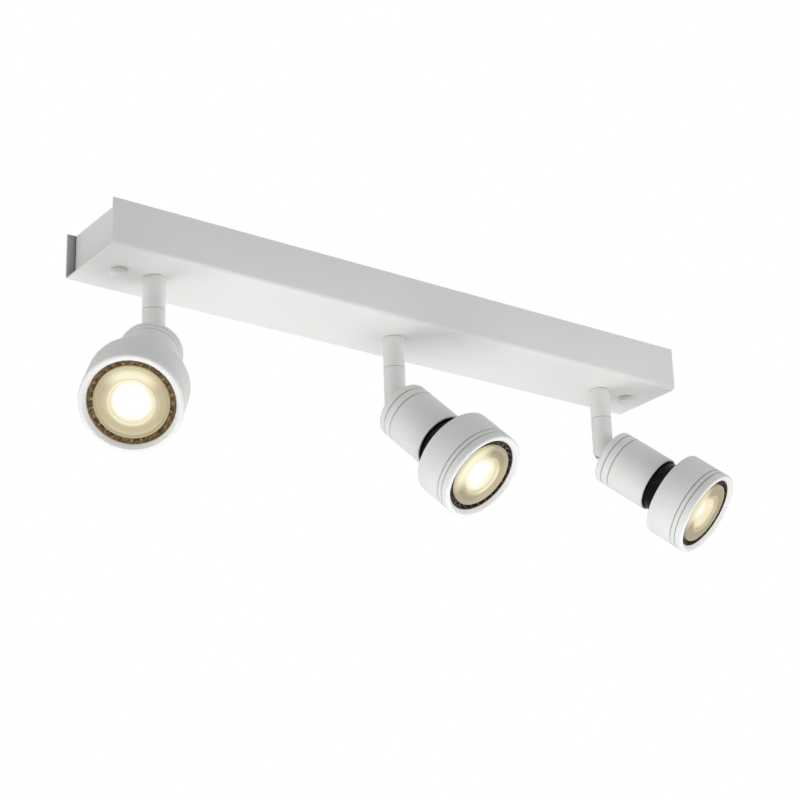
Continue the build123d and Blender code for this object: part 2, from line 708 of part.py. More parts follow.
os.makedirs("parts", exist_ok=True)
for name, shape in build().items():
    shape.label = name
    export_step(shape, f"parts/{name}.step")
stop_angle = STOP_BLOCK_HALF_ANGLE + degrees(asin(STOP_PIN_RADIUS / STOP_CIRCLE))
print(f"swivel stop touches {stop_angle:.1f} degrees either side of the pin")
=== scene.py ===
import json
from math import acos, atan2, cos, pi, radians, sin, tan

import bmesh
import bpy
from mathutils import Matrix, Vector


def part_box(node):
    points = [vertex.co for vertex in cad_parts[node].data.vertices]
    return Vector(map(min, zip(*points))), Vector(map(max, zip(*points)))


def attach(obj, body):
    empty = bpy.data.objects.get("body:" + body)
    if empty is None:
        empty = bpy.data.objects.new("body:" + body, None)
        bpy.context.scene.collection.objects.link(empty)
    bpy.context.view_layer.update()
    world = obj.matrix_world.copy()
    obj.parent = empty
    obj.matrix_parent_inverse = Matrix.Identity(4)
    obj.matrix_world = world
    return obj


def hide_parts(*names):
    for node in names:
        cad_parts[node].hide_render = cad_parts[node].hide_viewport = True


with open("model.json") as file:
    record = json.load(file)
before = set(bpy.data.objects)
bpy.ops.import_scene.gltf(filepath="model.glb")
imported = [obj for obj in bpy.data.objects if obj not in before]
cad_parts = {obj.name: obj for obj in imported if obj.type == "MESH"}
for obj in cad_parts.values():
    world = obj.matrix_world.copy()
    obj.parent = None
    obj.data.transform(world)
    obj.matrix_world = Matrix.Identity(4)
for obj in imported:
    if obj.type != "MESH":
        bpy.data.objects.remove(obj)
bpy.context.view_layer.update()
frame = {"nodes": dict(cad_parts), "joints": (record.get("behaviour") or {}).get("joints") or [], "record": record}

# Everything is in metres, in the CAD model's frame: +X along the bar, +Y to its back, +Z up into the ceiling.
MM = 0.001
SIDES = ("left", "middle", "right")
JOINTS = {joint["name"]: joint for joint in frame["joints"]}

# Bar, from its CAD node's box.
BAR_LOW, BAR_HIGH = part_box("bar_cover")
SHEET = 1.2 * MM
BEND_RADIUS = 3.0 * MM
BAR_FLOOR = BAR_LOW.z + SHEET
BOLT_HOLE_RADIUS = 4.1 * MM
STUD_HOLE_RADIUS = 2.3 * MM
FOOT_WIDTH = 40.0 * MM
# Length at each end of the bar's inside over which a painted shade darkens towards the recessed end panel.
END_SHADE_LENGTH = 6.0 * MM
NUT_RADIUS = 5.0 * MM
NUT_HEIGHT = 4.8 * MM
KNURL_COUNT = 22
KNURL_DEPTH = 0.8 * MM

# Stem and knuckle.
STEM_RADIUS = 7.1 * MM
STEM_BORE = 4.2 * MM
JOINT_HEIGHT = BAR_LOW.z - 21.8 * MM
JOINT_GAP = 0.25 * MM
SEAM_DEPTH = 0.55 * MM
TOP_SEAM = 0.35 * MM
JOINT_SEAM = 0.3 * MM
KNUCKLE_BORE = 4.05 * MM
CHAMBER_RADIUS = 5.5 * MM
CHAMBER_TOP = 26.4 * MM
PIVOT_DROP = 45.7 * MM
SLOT_WIDTH = 8.0 * MM
SLOT_REACH = 5.1 * MM
SCREW_SEAT_RADIUS = 3.3 * MM
SCREW_SEAT_DEPTH = 4.9 * MM
SCREW_HOLE_RADIUS = 2.1 * MM
TONGUE_WIDTH = 7.6 * MM
EYE_RADIUS = 4.7 * MM

# Head, with depths from the tilt pivot along the head's axis, in millimetres.
CUP_BACK = 7.5
CUP_FRONT = 48.4
CUP_RADIUS = 19.5
CUP_WALL = 1.3
CUP_FLOOR = CUP_BACK + 2.0
CUP_GROOVES = (13.0, 18.8)
TONGUE_REACH = 4.2
WIRE_HOLE_RADIUS = 3.0
WIRE_HOLE_PLACE = 9.5
RING_BACK = 61.4
RING_FRONT = 90.5
RING_RADIUS = 30.2
RING_WALL = 1.5
RING_EDGE = 2.4
RING_GROOVES = (81.3, 84.8)
OPENING_RADIUS = 25.5
OPENING_DEPTH = 88.0
GROOVE_DEPTH = 0.9
GROOVE_HALF_WIDTH = 0.48

# Lamp, in the same millimetres. Ribs cross the channel between its lens and its standing rim.
LAMP_RADIUS = 25.0
LAMP_BACK = 43.6
LAMP_FRONT = 86.6
LAMP_NECK_RADIUS = 15.6
LAMP_MOUTH_RADIUS = 13.6
LAMP_BORE_RADIUS = 15.0
LAMP_BACK_WALL = 3.4
FLARE_RADIUS = 17.4
FLARE_BACK = 45.5
FLARE_FRONT = 78.0
RIM_RADIUS = 25.35
RIM_FRONT = 88.45
CHANNEL_RADII = (22.3, 24.5)
CHANNEL_FLOOR = LAMP_FRONT - 1.8
RIB_COUNT = 28
RIB_GAP = 4.4
LENS_RADIUS = 21.8
LENS_FRONT = 88.5
LENS_THICKNESS = 2.6
LENS_SEAT = 73.0
LENS_STEP = 20.75
RIDGE_RADIUS = 14.2
RIDGE_WIDTH = 1.1
RECESS_RADIUS = 12.6
RECESS_DEPTH = 1.5
BRIGHT_SIDE = {"left": radians(7), "middle": radians(-84), "right": radians(-94)}

# How bright each lit lens is at a radius in millimetres: the side that it is brightest on, the flanks, and
# the side away from that. The stops were picked from brightness measured on the photographed lenses.
LENS_GLOW = {
    "left": {
        "bright": [
            (0, 1.0), (11, 0.99), (12.4, 0.95), (14.2, 0.84), (15.6, 0.91),
            (17, 0.93), (18.2, 0.87), (20, 0.67), (21.8, 0.60),
        ],
        "flank": [
            (0, 1.0), (10, 1.0), (11, 0.95), (12, 0.89),
            (13.2, 0.79), (15, 0.58), (17.5, 0.48), (21, 0.44),
        ],
        "dim": [
            (0, 1.0), (10.5, 0.97), (11.6, 0.89), (12.5, 0.90), (13.8, 0.79), (14.5, 0.61),
            (15.4, 0.51), (17.5, 0.51), (19, 0.58), (20.2, 0.42), (21.3, 0.46),
        ],
    },
    "middle": {
        "bright": [
            (0, 1.0), (12, 0.99), (14, 0.965), (15, 0.925),
            (18, 0.93), (20, 0.90), (21.2, 0.82), (21.8, 0.80),
        ],
        "flank": [
            (0, 1.0), (7, 0.985), (10, 0.945), (12, 0.745), (13, 0.617),
            (14, 0.474), (16, 0.352), (18, 0.33), (20, 0.42), (21.4, 0.41),
        ],
        "dim": [
            (0, 1.0), (10, 0.91), (12, 0.855), (12.5, 0.74), (12.9, 0.86), (13.4, 0.88),
            (13.9, 0.76), (14.5, 0.60), (15.4, 0.46), (19.6, 0.445), (20.5, 0.48),
        ],
    },
    "right": {
        "bright": [
            (0, 0.99), (10.5, 0.985), (13, 0.965), (15, 0.915),
            (16.5, 0.80), (18.5, 0.77), (21, 0.70),
        ],
        "flank": [
            (0, 0.86), (9.3, 0.83), (10.5, 0.72), (12, 0.565), (13, 0.503),
            (14, 0.44), (16, 0.365), (19, 0.36), (20.5, 0.40),
        ],
        "dim": [
            (0, 0.84), (10.5, 0.73), (11.7, 0.67), (12.6, 0.63),
            (13.4, 0.55), (14.6, 0.39), (20, 0.37), (21.3, 0.34),
        ],
    },
}
# What the lens's fine moulded lines do to that: below the even level they darken it, and above it they
# brighten it.
EVEN_LEVEL = 0.8
LENS_LINES = [
    (12.1, EVEN_LEVEL), (12.5, 0.71), (12.8, 0.74), (13.1, 0.86), (13.5, 0.87),
    (14.0, 0.78), (14.3, 0.74), (14.8, EVEN_LEVEL),
    (18.6, EVEN_LEVEL), (19.0, 0.84), (19.4, EVEN_LEVEL),
    (20.5, EVEN_LEVEL), (20.9, 0.66), (21.2, 0.90), (21.5, 0.84), (21.8, 0.70),
]
# Where the bright and the dim side begin and are full, as the cosine of the angle from their middle.
BRIGHT_BEGINS = {"left": 0.42, "middle": 0.30, "right": 0.52}
BRIGHT_FULL = 0.92
DIM_BEGINS = 0.30
DIM_FULL = 0.88
SOFT_CENTRE = 0.05
GLOW_COLOURS = [
    (0.30, (0.25, 0.20, 0.125)),
    (0.36, (0.31, 0.26, 0.165)),
    (0.45, (0.42, 0.36, 0.22)),
    (0.51, (0.49, 0.42, 0.24)),
    (0.62, (0.60, 0.53, 0.35)),
    (0.73, (0.70, 0.64, 0.44)),
    (0.82, (0.81, 0.73, 0.49)),
    (0.90, (0.86, 0.81, 0.58)),
    (0.94, (0.89, 0.86, 0.66)),
    (0.97, (0.93, 0.93, 0.82)),
    (1.00, (1.0, 1.0, 1.0)),
]
# Light that leaks over each lamp's ribs and rim.
RIB_GLOW = {"left": (0.19, 0.125, 0.06), "middle": (0.072, 0.066, 0.058), "right": (0.050, 0.046, 0.040)}
RIM_GLOW = {"left": (0.10, 0.064, 0.026), "middle": (0.009, 0.005, 0.003), "right": (0.006, 0.005, 0.003)}

BLACK = (0.0, 0.0, 0.0)
WHITE = (1.0, 1.0, 1.0)

# Range that a noise texture mostly covers.
NOISE_LOW = 0.3
NOISE_HIGH = 0.7


# ---- Mesh helpers ----


def link(name, mesh):
    """New object in the scene for a mesh."""
    piece = bpy.data.objects.new(name, mesh)
    bpy.context.scene.collection.objects.link(piece)
    return piece


def mesh_from(name, bm, sharp=35.0):
    """Mesh from a bmesh, shaded smooth except across edges sharper than an angle in degrees."""
    bmesh.ops.remove_doubles(bm, verts=bm.verts, dist=1e-7)
    bmesh.ops.recalc_face_normals(bm, faces=bm.faces)
    mesh = bpy.data.meshes.new(name)
    bm.to_mesh(mesh)
    bm.free()
    mesh.shade_smooth()
    mesh.set_sharp_from_angle(angle=radians(sharp))
    return mesh


def rounded(corners, closed=True, segments=5):
    """Outline points from (x, y, radius) corners, with each corner turned into an arc of its radius."""
    points = []
    count = len(corners)
    for i, (x, y, radius) in enumerate(corners):
        here = Vector((x, y))
        is_end = not closed and i in (0, count - 1)
        if radius <= 0 or is_end:
            points.append(here)
            continue
        before = (Vector(corners[i - 1][:2]) - here).normalized()
        after = (Vector(corners[(i + 1) % count][:2]) - here).normalized()
        half = acos(max(-1.0, min(1.0, before.dot(after)))) / 2
        reach = radius / tan(half)
        centre = here + (before + after).normalized() * (radius / sin(half))
        start = here + before * reach - centre
        end = here + after * reach - centre
        first = atan2(start.y, start.x)
        sweep = (atan2(end.y, end.x) - first + pi) % (2 * pi) - pi
        for step in range(segments + 1):
            angle = first + sweep * step / segments
            points.append(centre + radius * Vector((cos(angle), sin(angle))))
    return points


def lathe(bm, outline, steps=128):
    """Adds a closed surface of revolution about Z to a bmesh, from (radius, height) points."""
    angles = [2 * pi * i / steps for i in range(steps)]
    rings = []
    for radius, height in outline:
        if radius < 1e-9:
            rings.append([bm.verts.new((0, 0, height))])
            continue
        rings.append([bm.verts.new((radius * cos(a), radius * sin(a), height)) for a in angles])
    for lower, upper in zip(rings, rings[1:] + rings[:1]):
        if len(lower) == 1 and len(upper) == 1:
            continue
        for i in range(steps):
            j = (i + 1) % steps
            corners = [lower[k % len(lower)] for k in (i, j)]
            corners += [upper[k % len(upper)] for k in (j, i)]
            bm.faces.new(list(dict.fromkeys(corners)))
    return bm


def head_outline(corners, segments=5):
    """Rounded outline in metres, from (radius, depth, corner radius) in millimetres; depth runs down."""
    return [(p.x * MM, -p.y * MM) for p in rounded(corners, segments=segments)]


def grooved(radius, depths):
    """Outline corners for fine V grooves in an outer wall, in order of depth."""
    corners = []
    for depth in depths:
        corners.append((radius, depth - GROOVE_HALF_WIDTH, 0.08))
        corners.append((radius - GROOVE_DEPTH, depth, 0.04))
        corners.append((radius, depth + GROOVE_HALF_WIDTH, 0.08))
    return corners


def in_groove(face, radius, depths):
    """Whether a face of a turned piece lies inside one of its grooves."""
    reach, depth = face.center.xy.length / MM, -face.center.z / MM
    near = min(abs(depth - place) for place in depths)
    return near < GROOVE_HALF_WIDTH and radius - GROOVE_DEPTH - 0.05 < reach < radius - 0.12


def add_block(bm, low, high, matrix=Matrix.Identity(4), bevel=0.0):
    """Adds a box between two corners to a bmesh, with softened edges."""
    size = Vector(high) - Vector(low)
    centre = (Vector(high) + Vector(low)) / 2
    shape = matrix @ Matrix.Translation(centre) @ Matrix.Diagonal((*size, 1.0))
    made = bmesh.ops.create_cube(bm, size=1.0, matrix=shape)
    if bevel:
        edges = list({edge for vert in made["verts"] for edge in vert.link_edges})
        bmesh.ops.bevel(bm, geom=edges, offset=bevel, segments=2, affect="EDGES", profile=0.5)


def add_rod(bm, radius, low, high, matrix=Matrix.Identity(4), steps=64):
    """Adds a closed cylinder along the matrix's Z to a bmesh."""
    shape = matrix @ Matrix.Translation((0, 0, (low + high) / 2))
    bmesh.ops.create_cone(
        bm,
        cap_ends=True,
        segments=steps,
        radius1=radius,
        radius2=radius,
        depth=high - low,
        matrix=shape,
    )


def add_prism(bm, outline, start, end):
    """Adds a bar along X between two places to a bmesh, from (y, z) points."""
    ends = []
    for x in (start, end):
        ends.append([bm.verts.new((x, p.x, p.y)) for p in outline])
    bm.faces.new(ends[0])
    bm.faces.new(list(reversed(ends[1])))
    count = len(outline)
    for i in range(count):
        j = (i + 1) % count
        bm.faces.new((ends[0][i], ends[0][j], ends[1][j], ends[1][i]))


def carve(name, body, cutters, sharp=35.0):
    """Mesh of one bmesh with each cutter bmesh taken out of it."""
    piece = link(name, mesh_from(name, body, sharp))
    tools = []
    for i, cutter in enumerate(cutters):
        tool = link(f"{name}_cutter_{i}", mesh_from(f"{name}_cutter_{i}", cutter))
        modifier = piece.modifiers.new("carve", "BOOLEAN")
        modifier.operation = "DIFFERENCE"
        modifier.solver = "EXACT"
        modifier.object = tool
        tools.append(tool)
    bpy.context.view_layer.update()
    graph = bpy.context.evaluated_depsgraph_get()
    mesh = bpy.data.meshes.new_from_object(piece.evaluated_get(graph))
    bpy.data.objects.remove(piece)
    for tool in tools:
        bpy.data.objects.remove(tool)
    mesh.name = name
    mesh.shade_smooth()
    mesh.set_sharp_from_angle(angle=radians(sharp))
    return mesh


def soften(piece, width, angle=30.0):
    """Small bevel on a piece's sharp edges, so that they catch light."""
    bevel = piece.modifiers.new("edge", "BEVEL")
    bevel.width = width
    bevel.segments = 2
    bevel.limit_method = "ANGLE"
    bevel.angle_limit = radians(angle)
    bevel.harden_normals = True


# ---- Material helpers ----


class Shader:
    """A node material with short calls for the few nodes that the finishes share."""

    def __init__(self, name):
        self.material = bpy.data.materials.new(name)
        self.material.use_nodes = True
        self.tree = self.material.node_tree
        self.surface = self.tree.nodes["Principled BSDF"]
        self.place = self.add("ShaderNodeTexCoord").outputs["Object"]

    def add(self, kind, **settings):
        """New node of a kind, with some of its properties set."""
        node = self.tree.nodes.new(kind)
        for key, value in settings.items():
            setattr(node, key, value)
        return node

    def join(self, source, target):
        """Link from an output to an input."""
        self.tree.links.new(source, target)

    def set(self, **values):
        """Fixed values on the surface's own sockets; a double underscore stands for a space."""
        for key, value in values.items():
            self.surface.inputs[key.replace("__", " ")].default_value = value

    def noise(self, scale, detail=2.0, roughness=0.5, stretch=None):
        """Noise over the object's own coordinates, at a scale in waves per metre."""
        node = self.add("ShaderNodeTexNoise")
        node.inputs["Scale"].default_value = scale
        node.inputs["Detail"].default_value = detail
        node.inputs["Roughness"].default_value = roughness
        source = self.place
        if stretch:
            mapping = self.add("ShaderNodeMapping")
            mapping.inputs["Scale"].default_value = stretch
            self.join(source, mapping.inputs["Vector"])
            source = mapping.outputs["Vector"]
        self.join(source, node.inputs["Vector"])
        return node.outputs["Fac"]

    def axis(self, name):
        """One of the object's own coordinates, in metres."""
        parts = self.add("ShaderNodeSeparateXYZ")
        self.join(self.place, parts.inputs["Vector"])
        return parts.outputs[name]

    def math(self, operation, *values):
        """One calculation on node outputs or fixed numbers."""
        node = self.add("ShaderNodeMath", operation=operation)
        for socket, value in zip(node.inputs, values):
            if isinstance(value, float):
                socket.default_value = value
            else:
                self.join(value, socket)
        return node.outputs[0]

    def reach(self, radius):
        """Distance from the piece's own Z axis, as a share of a radius in metres."""
        squares = []
        for name in ("X", "Y"):
            place = self.axis(name)
            squares.append(self.math("MULTIPLY", place, place))
        return self.math("DIVIDE", self.math("SQRT", self.math("ADD", *squares)), radius)

    def ramp(self, source, stops, interpolation="LINEAR"):
        """Colour ramp: stops are (position, (r, g, b))."""
        node = self.add("ShaderNodeValToRGB")
        node.color_ramp.interpolation = interpolation
        elements = node.color_ramp.elements
        while len(elements) < len(stops):
            elements.new(0.5)
        for element, (position, colour) in zip(elements, stops):
            element.position = position
            element.color = (*colour, 1.0)
        self.join(source, node.inputs["Fac"])
        return node.outputs["Color"]

    def tones(self, noise, dark, light):
        """Colours from dark to light over the range of a noise."""
        return self.ramp(noise, [(NOISE_LOW, dark), (NOISE_HIGH, light)])

    def spread(self, source, low, high, start=NOISE_LOW, end=NOISE_HIGH):
        """A value's range, by default that of a noise, spread from low to high."""
        node = self.add("ShaderNodeMapRange")
        node.inputs["From Min"].default_value = start
        node.inputs["From Max"].default_value = end
        node.inputs["To Min"].default_value = low
        node.inputs["To Max"].default_value = high
        self.join(source, node.inputs["Value"])
        return node.outputs["Result"]

    def mix(self, factor, first, second):
        """Blend of two colours, each a node output or (r, g, b), by an output or a number."""
        node = self.add("ShaderNodeMix", data_type="RGBA")
        # A colour blend uses these three of the node's sockets.
        for place, value in ((0, factor), (6, first), (7, second)):
            socket = node.inputs[place]
            if isinstance(value, float):
                socket.default_value = value
            elif isinstance(value, tuple):
                socket.default_value = (*value, 1.0)
            else:
                self.join(value, socket)
        return node.outputs[2]

    def bump(self, height, strength, distance, below=None):
        """Normal from a height, over the bump below it."""
        node = self.add("ShaderNodeBump")
        node.inputs["Strength"].default_value = strength
        node.inputs["Distance"].default_value = distance
        self.join(height, node.inputs["Height"])
        if below:
            self.join(below, node.inputs["Normal"])
        return node.outputs["Normal"]

    def finish(self, colour=None, roughness=None, normal=None):
        """Joins what there is to the surface, and gives the material."""
        for source, key in ((colour, "Base Color"), (roughness, "Roughness"), (normal, "Normal")):
            if source:
                self.join(source, self.surface.inputs[key])
        return self.material


def tint(colour, factor):
    """A colour made lighter or darker."""
    return tuple(min(1.0, c * factor) for c in colour)


def lens_stops(steps):
    """Ramp stops over the lens's radius, from (radius in millimetres, level) pairs."""
    return [(radius / LENS_RADIUS, (level,) * 3) for radius, level in steps]


# ---- Materials ----


def powder_coat(name, colour, grain=1.0):
    """Matt white powder coat: faint orange peel, a finer grain, and slow shifts of tone."""
    shader = Shader(name)
    slow = shader.noise(14.0, 3.0)
    peel = shader.noise(900.0 * grain, 2.0)
    dust = shader.noise(5200.0 * grain, 3.0, 0.6)
    tone = shader.tones(slow, tint(colour, 0.985), tint(colour, 1.01))
    specks = shader.ramp(dust, [(0.35, tint(colour, 0.8)), (0.6, tint(colour, 1.04))])
    tone = shader.mix(0.05, tone, specks)
    normal = shader.bump(peel, 0.10, 0.06 * MM)
    normal = shader.bump(dust, 0.10, 0.015 * MM, normal)
    shader.set(Metallic=0.0, IOR=1.48)
    return shader.finish(tone, shader.spread(dust, 0.42, 0.54), normal)


def plated_metal(name, colour, roughness, brushing=(1.0, 1.0, 1.0)):
    """Metal with fine drawn lines, small blotches of plating and an uneven gloss."""
    shader = Shader(name)
    blotch = shader.noise(160.0, 4.0, 0.6)
    lines = shader.noise(2600.0, 2.0, 0.5, stretch=brushing)
    tone = shader.tones(blotch, tint(colour, 0.86), tint(colour, 1.08))
    normal = shader.bump(lines, 0.25, 0.02 * MM)
    shader.set(Metallic=1.0)
    return shader.finish(tone, shader.spread(blotch, roughness * 0.8, roughness * 1.25), normal)


def moulded(name, colour, roughness, texture=0.12, gloss=1.45):
    """Moulded plastic or fired ceramic: faint mottling and a fine skin texture."""
    shader = Shader(name)
    mottle = shader.noise(70.0, 4.0, 0.6)
    skin = shader.noise(3400.0, 2.0)
    tone = shader.tones(mottle, tint(colour, 0.93), tint(colour, 1.05))
    normal = shader.bump(skin, texture, 0.03 * MM)
    shader.set(Metallic=0.0, IOR=gloss)
    return shader.finish(tone, shader.spread(mottle, roughness * 0.88, roughness * 1.15), normal)


def lamp_black(name):
    """Semi-gloss black coat over the lamp's heat sink."""
    shader = Shader(name)
    slow = shader.noise(40.0, 3.0)
    grain = shader.noise(2400.0, 2.0)
    tone = shader.tones(slow, (0.002, 0.0024, 0.0022), (0.0045, 0.005, 0.0046))
    shader.set(Metallic=0.0, IOR=1.4, Specular__IOR__Level=0.22)
    return shader.finish(tone, shader.spread(slow, 0.16, 0.26), shader.bump(grain, 0.12, 0.02 * MM))


def insulation(name, colour, stripe=None):
    """Smooth wire insulation, with slanting bands of a second colour for the earth wires."""
    shader = Shader(name)
    mottle = shader.noise(220.0, 3.0)
    tone = shader.tones(mottle, tint(colour, 0.85), tint(colour, 1.1))
    if stripe:
        wave = shader.add("ShaderNodeTexWave", wave_type="BANDS", bands_direction="DIAGONAL")
        wave.inputs["Scale"].default_value = 150.0
        wave.inputs["Distortion"].default_value = 0.0
        shader.join(shader.place, wave.inputs["Vector"])
        band = shader.ramp(wave.outputs["Fac"], [(0.5, BLACK), (0.56, WHITE)])
        tone = shader.mix(band, tone, stripe)
    shader.set(IOR=1.5)
    return shader.finish(tone, shader.spread(mottle, 0.34, 0.46), shader.bump(mottle, 0.1, 0.05 * MM))


def lit_lens(side):
    """A lamp's lens, lit: its own +X side is the bright one, and the far side is dimmer than the flanks."""
    shader = Shader(f"lit_lens_{side}")
    reach = shader.reach(LENS_RADIUS * MM)
    glow = {part: shader.ramp(reach, lens_stops(steps)) for part, steps in LENS_GLOW[side].items()}
    across = shader.math("DIVIDE", shader.axis("X"), LENS_RADIUS * MM)
    facing = shader.math("DIVIDE", across, shader.math("ADD", reach, SOFT_CENTRE))
    away = shader.math("MULTIPLY", facing, -1.0)
    bright = shader.ramp(facing, [(BRIGHT_BEGINS[side], BLACK), (BRIGHT_FULL, WHITE)], "EASE")
    dim = shader.ramp(away, [(DIM_BEGINS, BLACK), (DIM_FULL, WHITE)], "EASE")
    plain = shader.mix(bright, shader.mix(dim, glow["flank"], glow["dim"]), glow["bright"])
    lines = shader.ramp(reach, lens_stops(LENS_LINES))
    level = shader.math("MULTIPLY", shader.math("MULTIPLY", plain, lines), 1.0 / EVEN_LEVEL)
    shader.join(shader.ramp(level, GLOW_COLOURS), shader.surface.inputs["Emission Color"])
    ripple = shader.noise(260.0, 3.0)
    shader.set(Roughness=0.22, IOR=1.40, Emission__Strength=1.0)
    base = shader.tones(ripple, (0.055, 0.050, 0.040), (0.065, 0.060, 0.048))
    return shader.finish(base, None, shader.bump(ripple, 0.06, 0.05 * MM))


def rim_glow(name, leak, roughness=0.35):
    """Channel round the lens, its ribs and its rim: black, with the lamp's light leaking over it unevenly."""
    shader = Shader(name)
    patches = shader.noise(420.0, 4.0, 0.6)
    glow = shader.ramp(patches, [(0.36, tint(leak, 0.35)), (0.5, leak), (0.62, tint(leak, 1.9))])
    shader.set(Emission__Strength=1.0, IOR=1.45)
    shader.join(glow, shader.surface.inputs["Emission Color"])
    base = shader.tones(patches, (0.004, 0.0036, 0.0034), (0.010, 0.009, 0.0085))
    return shader.finish(base, shader.spread(patches, roughness * 0.9, roughness * 1.2))


def inside_painted_shade(name):
    """Inside of the bar: a grey coat as painted shade inside the channel, and in the recess at each end a painted
    shade that darkens from the open end towards the end panel.
    """
    shader = Shader(name)
    along = shader.math("ABSOLUTE", shader.axis("X"))
    near_end = shader.spread(along, 0.0, 1.0, BAR_HIGH.x - END_SHADE_LENGTH, BAR_HIGH.x)
    mottle = shader.noise(60.0, 4.0)
    fine = shader.noise(2000.0, 2.0)
    # Grey painted shade for the rest of the channel's inside.
    coat = shader.tones(mottle, (0.30, 0.30, 0.295), (0.37, 0.37, 0.365))
    # Painted shade in the recess at each end: darkest by the end panel, lighter towards the open end.
    end_shade = [(0.0, (0.10, 0.10, 0.10)), (0.25, (0.30, 0.30, 0.29)), (1.0, (0.50, 0.50, 0.49))]
    beyond = shader.ramp(near_end, [(0.0, BLACK), (0.02, WHITE)])
    tone = shader.mix(beyond, coat, shader.ramp(near_end, end_shade))
    return shader.finish(tone, shader.spread(mottle, 0.5, 0.62), shader.bump(fine, 0.15, 0.03 * MM))


def led_board(name):
    """White mask of the board inside the lamp."""
    shader = Shader(name)
    mask = shader.noise(300.0, 3.0)
    tone = shader.tones(mask, (0.80, 0.79, 0.72), (0.90, 0.89, 0.84))
    shader.set(IOR=1.5, Roughness=0.35)
    return shader.finish(tone, None, shader.bump(mask, 0.1, 0.03 * MM))


def make_materials():
    """Every finish by its name; a finish with the name of a material slot in the record is that slot's."""
    striped = insulation("green_yellow_insulation", (0.05, 0.28, 0.06), (0.75, 0.62, 0.04))
    return {
        "white_paint": powder_coat("white_powder_coat", (0.83, 0.84, 0.82)),
        "ring_white": powder_coat("ring_powder_coat", (0.84, 0.85, 0.83), 1.2),
        # Lighter copy of the ring's coat for its front and lip: painted light from the lamp.
        "ring_front_painted_light": powder_coat("ring_front_painted_light_coat", (0.90, 0.905, 0.89), 1.2),
        # Darker coat for the faces in the grooves: painted shade.
        "groove_painted_shade": powder_coat("groove_painted_shade", (0.56, 0.56, 0.55), 1.2),
        # Inside of the bar's channel: grey painted shade.
        "inside_painted_shade": inside_painted_shade("inside_painted_shade"),
        "zinc_steel": plated_metal("zinc_plate", (0.74, 0.74, 0.72), 0.30, (1.0, 0.08, 0.08)),
        "spring_steel": plated_metal("spring_steel", (0.50, 0.50, 0.52), 0.28),
        "brass": plated_metal("brass", (0.83, 0.64, 0.30), 0.25),
        "tinned_copper": plated_metal("tinned_copper", (0.78, 0.75, 0.70), 0.24),
        "white_plastic": moulded("white_plastic", (0.80, 0.79, 0.75), 0.42),
        "black_plastic": moulded("black_plastic", (0.025, 0.025, 0.026), 0.40),
        "ceramic": moulded("ceramic", (0.82, 0.79, 0.71), 0.62, 0.35, 1.55),
        "brown_insulation": insulation("brown_insulation", (0.16, 0.06, 0.025)),
        "blue_insulation": insulation("blue_insulation", (0.03, 0.12, 0.42)),
        "green_yellow_insulation": striped,
        "lamp_black": lamp_black("lamp_black"),
        "led_board": led_board("led_board"),
        **{f"lens_{side}": lit_lens(side) for side in SIDES},
        **{f"rib_{side}": rim_glow(f"rib_{side}", RIB_GLOW[side]) for side in SIDES},
        **{f"rim_{side}": rim_glow(f"rim_{side}", RIM_GLOW[side], 0.6) for side in SIDES},
    }


MATERIALS = make_materials()


def dress(piece, body, slot, *nodes, finishes=(), choose=None):
    """Gives a piece its finish and body, and lets it stand for CAD nodes.

    With a list of finishes, choose gives each face its place in that list.
    """
    piece.data.materials.clear()
    for finish in finishes or (slot,):
        piece.data.materials.append(MATERIALS[finish])
    if choose:
        for face in piece.data.polygons:
            face.material_index = int(choose(face))
    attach(piece, body)
    if nodes:
        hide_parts(*nodes)
    return piece


# ---- Where the stems and heads are ----


def stem_matrix(side):
    """Frame of a knuckle: origin on the stem's axis at the bar's underside, +X towards its tilt."""
    tilt_axis = Vector(JOINTS[f"tilt_{side}"]["axis"]).normalized()
    across = -tilt_axis
    forward = across.cross(Vector((0, 0, 1)))
    turn = Matrix((forward, across, (0, 0, 1))).transposed().to_4x4()
    place = Vector(JOINTS[f"pan_{side}"]["pos_m"])
    return Matrix.Translation((place.x, place.y, BAR_LOW.z)) @ turn


def head_matrix(side):
    """Frame of a head: origin at its tilt pivot, with the light leaving along -Z."""
    beam = Vector(JOINTS[f"twist_{side}"]["axis"]).normalized()
    across = -Vector(JOINTS[f"tilt_{side}"]["axis"]).normalized()
    up = -beam
    forward = across.cross(up)
    turn = Matrix((forward, across, up)).transposed().to_4x4()
    return Matrix.Translation(Vector(JOINTS[f"tilt_{side}"]["pos_m"])) @ turn


# ---- Bar ----


def stud_places():
    """Places along the bar of its two studs, from the box of their cap nuts."""
    low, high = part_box("cap_nuts")
    radius = (high.y - low.y) / 2
    return [low.x + radius, high.x - radius]


